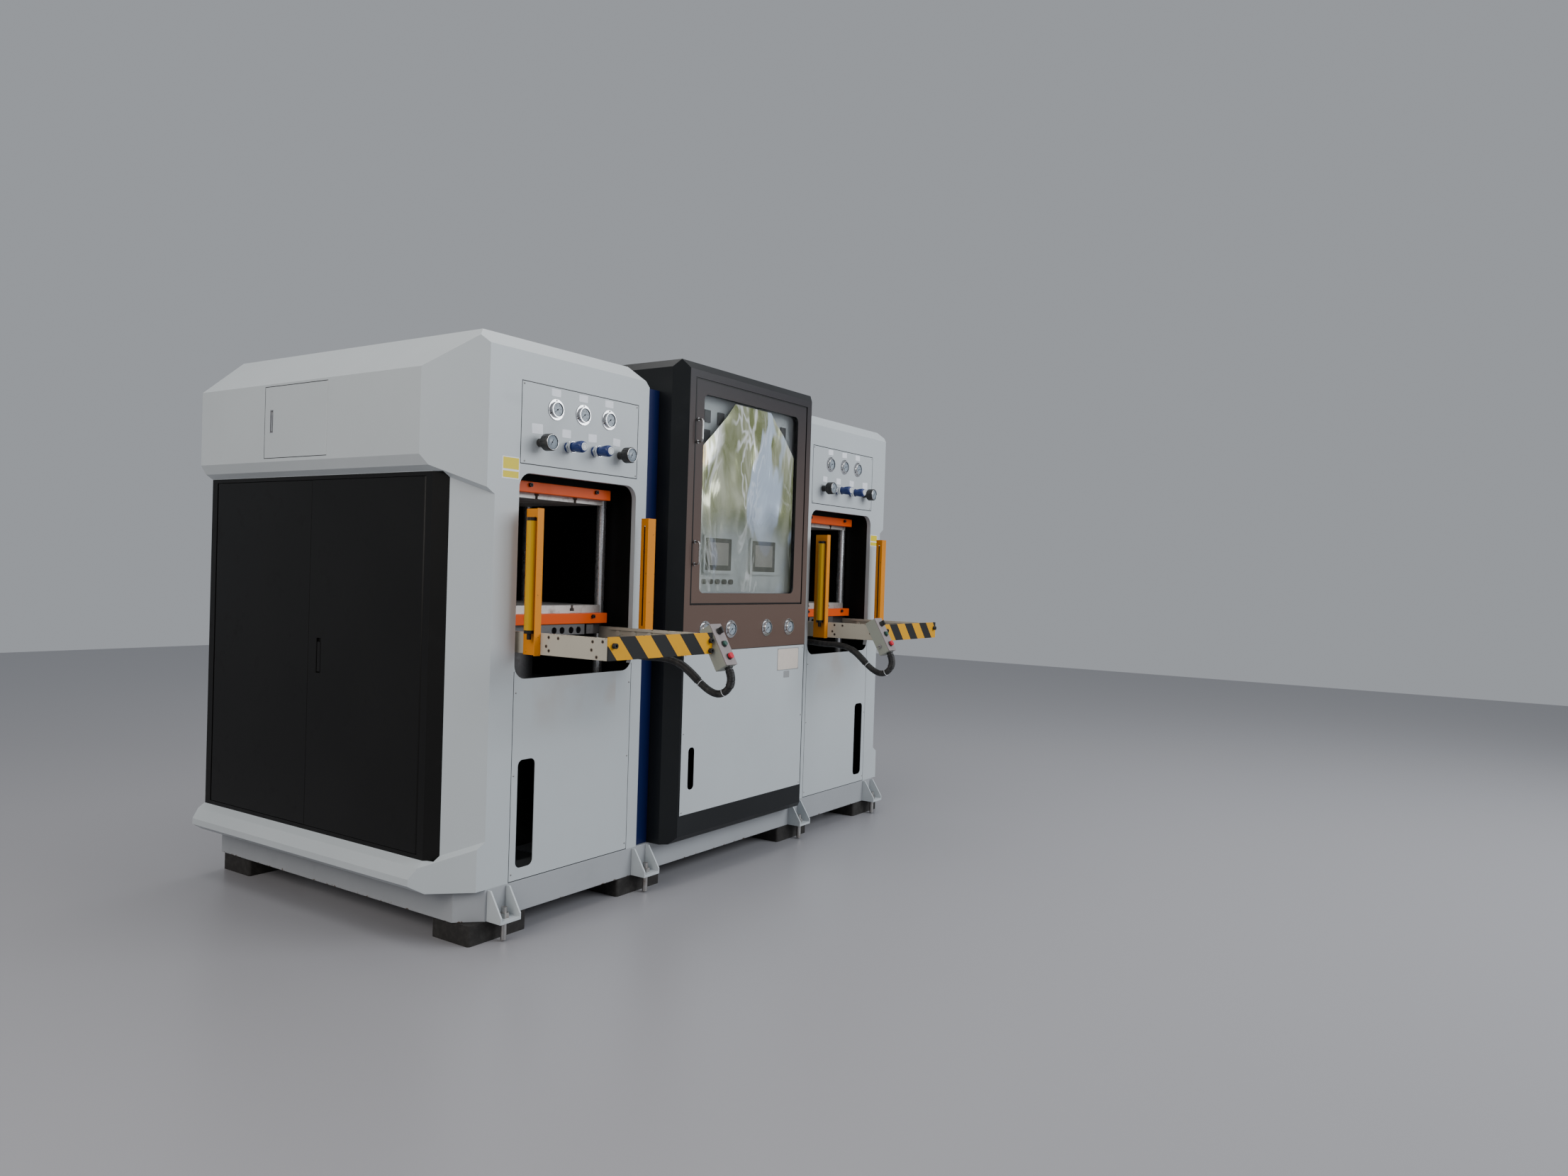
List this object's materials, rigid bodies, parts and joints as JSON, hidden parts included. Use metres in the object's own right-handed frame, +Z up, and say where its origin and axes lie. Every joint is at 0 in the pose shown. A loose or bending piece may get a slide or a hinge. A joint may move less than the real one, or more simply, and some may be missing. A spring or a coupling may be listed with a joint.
{
  "type": "hydraulic press",
  "caption": "Twin-station hydraulic moulding press with a central control cabinet, ram-lifted lower platens, roller arms with a hazard bar, and hinged service doors.",
  "frame": {"origin": "on the floor, in the middle of the machine's width and depth", "axes": "+X along the front to the right seen from in front, +Y from the front into the machine, +Z up"},
  "size_m": [3.59, 2.3214, 2.473],
  "materials": {
    "white_paint": "semi-gloss pale blue-grey powder coat",
    "black_paint": "satin black powder coat",
    "cabinet_paint": "textured dark brown-black powder coat",
    "navy_paint": "semi-gloss dark blue paint",
    "orange_paint": "gloss orange paint",
    "amber_paint": "chipped amber paint",
    "tube_yellow": "yellow aluminium profile with black caps",
    "cream_paint": "cream paint with rust chips",
    "hazard_paint": "yellow and black diagonal stripes",
    "platen_steel": "ground steel",
    "column_steel": "ground and plated steel",
    "dark_steel": "machined steel, oiled",
    "bare_steel": "plain steel, dulled",
    "handle_steel": "plated wire",
    "gauge_chrome": "bright bezel",
    "tank_grey": "grey enamel",
    "panel_grey": "pale grey panel",
    "box_grey": "grey-green enamel",
    "lid_grey": "warm grey enamel",
    "window_glass": "clear window with film",
    "pad_rubber": "solid rubber",
    "hose_rubber": "corrugated conduit",
    "black_plastic": "moulded",
    "blue_plastic": "moulded, fluted",
    "green_plastic": "moulded",
    "red_plastic": "moulded"
  },
  "bodies": {
    "machine": {"base_frame": "white_paint", "rubber_pads": "pad_rubber", "anchor_feet": "white_paint", "jack_bolts": "bare_steel", "cabinet_body": "cabinet_paint", "instrument_panel": "panel_grey", "panel_controllers": "black_plastic", "cabinet_service_panel": "white_paint", "filler_strips": "navy_paint", "gauge_plates": "white_paint", "lower_panels": "white_paint", "rear_panels": "white_paint", "press_frames": "black_paint", "cylinders": "dark_steel", "power_units": "tank_grey", "upper_platens": "platen_steel", "upper_bars": "orange_paint", "hazard_bars": "hazard_paint", "box_lids": "lid_grey", "door_frames": "black_paint", "control_boxes": "box_grey", "side_arms": "cream_paint", "pressure_gauges": "gauge_chrome", "guide_columns": "column_steel", "light_posts": "amber_paint", "light_tubes": "tube_yellow", "left_shell": "white_paint", "left_hose": "hose_rubber", "right_shell": "white_paint", "right_hose": "hose_rubber"},
    "cabinet_door": {"cabinet_door": "cabinet_paint", "door_window": "window_glass", "door_handles": "handle_steel"},
    "key_switch": {"key_switch": "bare_steel"},
    "left_ram": {"left_ram_table": "dark_steel", "left_lower_platen": "platen_steel", "left_lower_bar": "orange_paint"},
    "left_side_door_front": {"left_side_door_front": "black_paint"},
    "left_side_door_rear": {"left_side_door_rear": "black_paint"},
    "left_hood_door": {"left_hood_door": "white_paint"},
    "left_start_button": {"left_start_button": "green_plastic"},
    "left_stop_button": {"left_stop_button": "red_plastic"},
    "left_selector": {"left_selector": "black_plastic"},
    "left_knob_1": {"left_knob_1": "black_plastic"},
    "left_knob_2": {"left_knob_2": "blue_plastic"},
    "left_knob_3": {"left_knob_3": "blue_plastic"},
    "left_knob_4": {"left_knob_4": "black_plastic"},
    "right_ram": {"right_ram_table": "dark_steel", "right_lower_platen": "platen_steel", "right_lower_bar": "orange_paint"},
    "right_side_door_front": {"right_side_door_front": "black_paint"},
    "right_side_door_rear": {"right_side_door_rear": "black_paint"},
    "right_hood_door": {"right_hood_door": "white_paint"},
    "right_start_button": {"right_start_button": "green_plastic"},
    "right_stop_button": {"right_stop_button": "red_plastic"},
    "right_selector": {"right_selector": "black_plastic"},
    "right_knob_1": {"right_knob_1": "black_plastic"},
    "right_knob_2": {"right_knob_2": "blue_plastic"},
    "right_knob_3": {"right_knob_3": "blue_plastic"},
    "right_knob_4": {"right_knob_4": "black_plastic"}
  },
  "joints": [
    {"name": "left_ram_slide", "type": "slide", "parent": "machine", "child": "left_ram", "axis": [0, 0, 1], "range_m": [0, 0.4]},
    {"name": "left_side_door_front_hinge", "type": "hinge", "parent": "machine", "child": "left_side_door_front", "pos_m": [-1.73, -0.37676, 0], "axis": [0, 0, 1], "range_deg": [0, 95]},
    {"name": "left_side_door_rear_hinge", "type": "hinge", "parent": "machine", "child": "left_side_door_rear", "pos_m": [-1.73, 1.09624, 0], "axis": [0, 0, -1], "range_deg": [0, 95]},
    {"name": "left_hood_door_hinge", "type": "hinge", "parent": "machine", "child": "left_hood_door", "pos_m": [-1.788, 0.19124, 0], "axis": [0, 0, 1], "range_deg": [0, 90]},
    {"name": "left_start_button_travel", "type": "slide", "parent": "machine", "child": "left_start_button", "axis": [0, 0.866, -0.5], "range_m": [0, 0.004], "stiffness_N_per_m": 800, "springref_m": -0.002},
    {"name": "left_stop_button_travel", "type": "slide", "parent": "machine", "child": "left_stop_button", "axis": [0, 0.866, -0.5], "range_m": [0, 0.004], "stiffness_N_per_m": 800, "springref_m": -0.002},
    {"name": "left_selector_turn", "type": "hinge", "parent": "machine", "child": "left_selector", "pos_m": [-0.735, -1.04176, 1.21296], "axis": [0, -0.866, 0.5], "range_deg": [-45, 45]},
    {"name": "left_knob_1_turn", "type": "hinge", "parent": "machine", "child": "left_knob_1", "pos_m": [-1.348, -0.59176, 1.992], "axis": [0, -1, 0], "range_deg": [-900, 900]},
    {"name": "left_knob_2_turn", "type": "hinge", "parent": "machine", "child": "left_knob_2", "pos_m": [-1.188, -0.59176, 1.992], "axis": [0, -1, 0], "range_deg": [-900, 900]},
    {"name": "left_knob_3_turn", "type": "hinge", "parent": "machine", "child": "left_knob_3", "pos_m": [-1.028, -0.59176, 1.992], "axis": [0, -1, 0], "range_deg": [-900, 900]},
    {"name": "left_knob_4_turn", "type": "hinge", "parent": "machine", "child": "left_knob_4", "pos_m": [-0.868, -0.59176, 1.992], "axis": [0, -1, 0], "range_deg": [-900, 900]},
    {"name": "right_ram_slide", "type": "slide", "parent": "machine", "child": "right_ram", "axis": [0, 0, 1], "range_m": [0, 0.4]},
    {"name": "right_side_door_front_hinge", "type": "hinge", "parent": "machine", "child": "right_side_door_front", "pos_m": [1.73, -0.37676, 0], "axis": [0, 0, -1], "range_deg": [0, 95]},
    {"name": "right_side_door_rear_hinge", "type": "hinge", "parent": "machine", "child": "right_side_door_rear", "pos_m": [1.73, 1.09624, 0], "axis": [0, 0, 1], "range_deg": [0, 95]},
    {"name": "right_hood_door_hinge", "type": "hinge", "parent": "machine", "child": "right_hood_door", "pos_m": [1.788, 0.19124, 0], "axis": [0, 0, -1], "range_deg": [0, 90]},
    {"name": "right_start_button_travel", "type": "slide", "parent": "machine", "child": "right_start_button", "axis": [0, 0.866, -0.5], "range_m": [0, 0.004], "stiffness_N_per_m": 800, "springref_m": -0.002},
    {"name": "right_stop_button_travel", "type": "slide", "parent": "machine", "child": "right_stop_button", "axis": [0, 0.866, -0.5], "range_m": [0, 0.004], "stiffness_N_per_m": 800, "springref_m": -0.002},
    {"name": "right_selector_turn", "type": "hinge", "parent": "machine", "child": "right_selector", "pos_m": [0.735, -1.04176, 1.21296], "axis": [0, -0.866, 0.5], "range_deg": [-45, 45]},
    {"name": "right_knob_1_turn", "type": "hinge", "parent": "machine", "child": "right_knob_1", "pos_m": [1.348, -0.59176, 1.992], "axis": [0, -1, 0], "range_deg": [-900, 900]},
    {"name": "right_knob_2_turn", "type": "hinge", "parent": "machine", "child": "right_knob_2", "pos_m": [1.188, -0.59176, 1.992], "axis": [0, -1, 0], "range_deg": [-900, 900]},
    {"name": "right_knob_3_turn", "type": "hinge", "parent": "machine", "child": "right_knob_3", "pos_m": [1.028, -0.59176, 1.992], "axis": [0, -1, 0], "range_deg": [-900, 900]},
    {"name": "right_knob_4_turn", "type": "hinge", "parent": "machine", "child": "right_knob_4", "pos_m": [0.868, -0.59176, 1.992], "axis": [0, -1, 0], "range_deg": [-900, 900]},
    {"name": "cabinet_door_hinge", "type": "hinge", "parent": "machine", "child": "cabinet_door", "pos_m": [0.474, -0.70076, 0], "axis": [0, 0, 1], "range_deg": [0, 95]},
    {"name": "key_switch_turn", "type": "hinge", "parent": "machine", "child": "key_switch", "pos_m": [0.696, -1.09393, 1.1126], "axis": [-1, 0, 0], "range_deg": [0, 90]}
  ]
}
